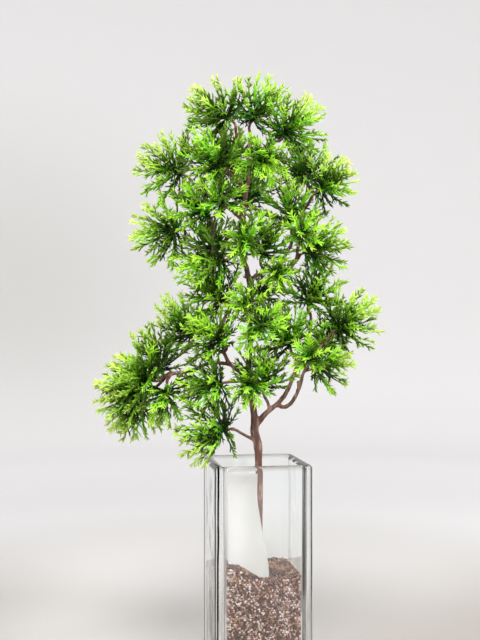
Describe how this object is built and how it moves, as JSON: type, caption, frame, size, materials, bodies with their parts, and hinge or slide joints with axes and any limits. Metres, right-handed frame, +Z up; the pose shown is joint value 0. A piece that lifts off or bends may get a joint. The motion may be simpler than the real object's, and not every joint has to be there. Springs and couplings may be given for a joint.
{
  "type": "juniper bonsai",
  "caption": "Slender artificial juniper branch with forked needle sprays, standing in gravel in a tall square glass vase with rounded corners.",
  "frame": {"origin": "centre of the vase's flat underside", "axes": "+Z up along the vase and the stem, -Y towards the vase's front face, +X to its right"},
  "size_m": [0.2363, 0.1178, 0.5198],
  "materials": {
    "glass": "clear, polished",
    "gravel": "coarse loose gravel",
    "slip": "smooth white",
    "stem": "moulded, satin",
    "foliage": "moulded, satin"
  },
  "bodies": {
    "root": {"vase": "glass", "gravel": "gravel", "slip": "slip", "stem": "stem", "spray_crown_front": "foliage", "spray_crown_left": "foliage", "spray_crown_right": "foliage", "spray_crown_top": "foliage", "spray_left_back": "foliage", "spray_left_end": "foliage", "spray_left_end_down": "foliage", "spray_left_high": "foliage", "spray_left_in": "foliage", "spray_left_low_down": "foliage", "spray_left_low_front": "foliage", "spray_left_low_up": "foliage", "spray_left_middle": "foliage", "spray_left_middle_front": "foliage", "spray_left_middle_out": "foliage", "spray_left_out": "foliage", "spray_low_front": "foliage", "spray_low_left": "foliage", "spray_low_middle": "foliage", "spray_lowest_left": "foliage", "spray_middle_back": "foliage", "spray_middle_high": "foliage", "spray_middle_right": "foliage", "spray_middle_right_front": "foliage", "spray_right_far": "foliage", "spray_right_front": "foliage", "spray_right_high": "foliage", "spray_right_low": "foliage", "spray_right_low_back": "foliage", "spray_right_low_front": "foliage", "spray_right_middle": "foliage", "spray_right_out": "foliage", "spray_shoulder_back": "foliage", "spray_shoulder_left": "foliage", "spray_trunk_front": "foliage", "spray_trunk_front_high": "foliage", "spray_trunk_front_low": "foliage", "spray_upper_back": "foliage", "spray_upper_left": "foliage", "spray_upper_left_front": "foliage", "spray_upper_right": "foliage", "spray_upper_right_out": "foliage"}
  },
  "joints": []
}
